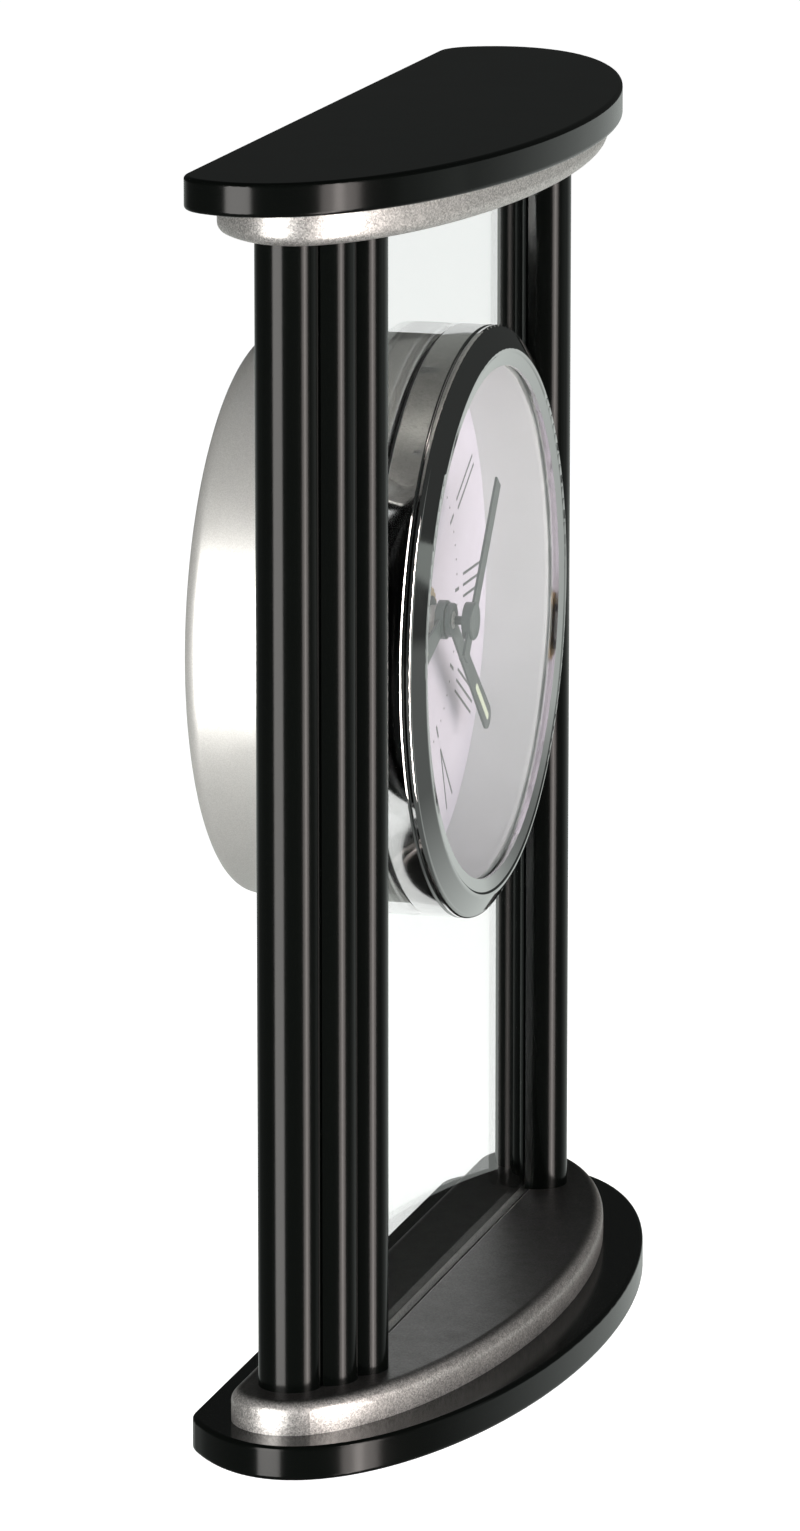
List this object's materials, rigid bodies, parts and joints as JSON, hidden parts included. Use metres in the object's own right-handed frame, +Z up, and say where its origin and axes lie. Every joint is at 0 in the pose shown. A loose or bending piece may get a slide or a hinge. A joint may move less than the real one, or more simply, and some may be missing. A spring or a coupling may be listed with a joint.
{
  "type": "mantel clock",
  "caption": "Mantel clock: a round chrome-rimmed quartz clock head set in an upright glass panel between black lobed posts, on bowed black and silver boards, with turning hands.",
  "frame": {"origin": "underside of the felt, at the middle of the base plate's width and depth", "axes": "+X to the right of a viewer who faces the dial, +Y from the dial to the back, +Z up"},
  "size_m": [0.1776, 0.0604, 0.211],
  "materials": {
    "felt": "matte black felt",
    "black_lacquer": "gloss black lacquer",
    "silver_lacquer": "silver lacquer with fine sparkle",
    "clear_glass": "clear, polished",
    "lens_glass": "clear, polished",
    "chrome_plate": "polished",
    "satin_silver": "satin",
    "light_grey_plastic": "satin moulded",
    "dial_white": "matt, printed",
    "hand_grey": "satin dark grey-green paint",
    "black_rubber": "matte",
    "steel": "bright zinc",
    "brass": "turned",
    "case_plastic": "moulded, fine grain",
    "gear_plastic": "natural acetal",
    "copper": "enamelled copper winding",
    "board_green": "solder resist",
    "cell_jacket": "gloss jacket, no lettering"
  },
  "bodies": {
    "case": {"felt_pad": "felt", "base_plate": "black_lacquer", "lower_tier": "silver_lacquer", "upper_tier": "silver_lacquer", "top_plate": "black_lacquer", "left_front_post": "black_lacquer", "left_rear_post": "black_lacquer", "right_front_post": "black_lacquer", "right_rear_post": "black_lacquer", "glass_panel": "clear_glass", "glass_strips": "black_rubber", "tie_rods": "steel", "rod_nuts": "steel", "rod_inserts": "brass", "base_screws": "steel", "top_screws": "steel", "bezel": "chrome_plate", "front_drum": "chrome_plate", "lens": "lens_glass", "lens_gasket": "light_grey_plastic", "inner_sleeve": "light_grey_plastic", "front_gasket": "black_rubber", "rear_gasket": "black_rubber", "rear_housing": "satin_silver", "dial": "dial_white", "dial_ring": "black_rubber", "movement_case": "case_plastic", "movement_cover": "case_plastic", "train_bridge": "case_plastic", "movement_nut": "brass", "nut_washer": "black_rubber", "stator": "steel", "coil": "copper", "circuit_board": "board_green", "quartz_crystal": "steel", "positive_contact": "steel", "negative_contact": "steel"},
    "second_hand": {"second_hand": "hand_grey", "seconds_wheel": "gear_plastic"},
    "minute_hand": {"minute_hand": "hand_grey", "centre_wheel": "gear_plastic"},
    "hour_hand": {"hour_hand": "hand_grey", "hour_wheel": "gear_plastic"},
    "third_wheel": {"third_wheel": "gear_plastic"},
    "motion_wheel": {"motion_wheel": "gear_plastic"},
    "fifth_wheel": {"fifth_wheel": "gear_plastic"},
    "rotor": {"rotor": "steel"},
    "setting_knob": {"setting_knob": "gear_plastic"},
    "battery": {"battery": "cell_jacket"}
  },
  "joints": [
    {"name": "second_hand_turn", "type": "hinge", "parent": "case", "child": "second_hand", "pos_m": [0, 0.015, 0.1254], "axis": [0, 1, 0], "continuous": true},
    {"name": "minute_hand_turn", "type": "hinge", "parent": "case", "child": "minute_hand", "pos_m": [0, 0.015, 0.1254], "axis": [0, 1, 0], "continuous": true},
    {"name": "hour_hand_turn", "type": "hinge", "parent": "case", "child": "hour_hand", "pos_m": [0, 0.015, 0.1254], "axis": [0, 1, 0], "continuous": true},
    {"name": "third_wheel_turn", "type": "hinge", "parent": "case", "child": "third_wheel", "pos_m": [-0.00987, 0.015, 0.1311], "axis": [0, 1, 0], "continuous": true},
    {"name": "motion_wheel_turn", "type": "hinge", "parent": "case", "child": "motion_wheel", "pos_m": [0.00927, 0.015, 0.12292], "axis": [0, 1, 0], "continuous": true},
    {"name": "fifth_wheel_turn", "type": "hinge", "parent": "case", "child": "fifth_wheel", "pos_m": [0.00525, 0.015, 0.13449], "axis": [0, 1, 0], "continuous": true},
    {"name": "rotor_turn", "type": "hinge", "parent": "case", "child": "rotor", "pos_m": [0.0123, 0.015, 0.13706], "axis": [0, 1, 0], "continuous": true},
    {"name": "setting_knob_turn", "type": "hinge", "parent": "case", "child": "setting_knob", "pos_m": [0.01887, 0.015, 0.12292], "axis": [0, 1, 0], "continuous": true},
    {"name": "battery_slide", "type": "slide", "parent": "case", "child": "battery", "axis": [0, 1, 0], "range_m": [0, 0.03]}
  ],
  "couplings": [
    {"joint": "minute_hand_turn", "follows": "second_hand_turn", "ratio": 0.016667},
    {"joint": "hour_hand_turn", "follows": "second_hand_turn", "ratio": 0.0013889},
    {"joint": "third_wheel_turn", "follows": "second_hand_turn", "ratio": -0.13333},
    {"joint": "motion_wheel_turn", "follows": "second_hand_turn", "ratio": -0.0055556},
    {"joint": "fifth_wheel_turn", "follows": "second_hand_turn", "ratio": -6},
    {"joint": "rotor_turn", "follows": "second_hand_turn", "ratio": 30},
    {"joint": "setting_knob_turn", "follows": "second_hand_turn", "ratio": 0.016667}
  ]
}
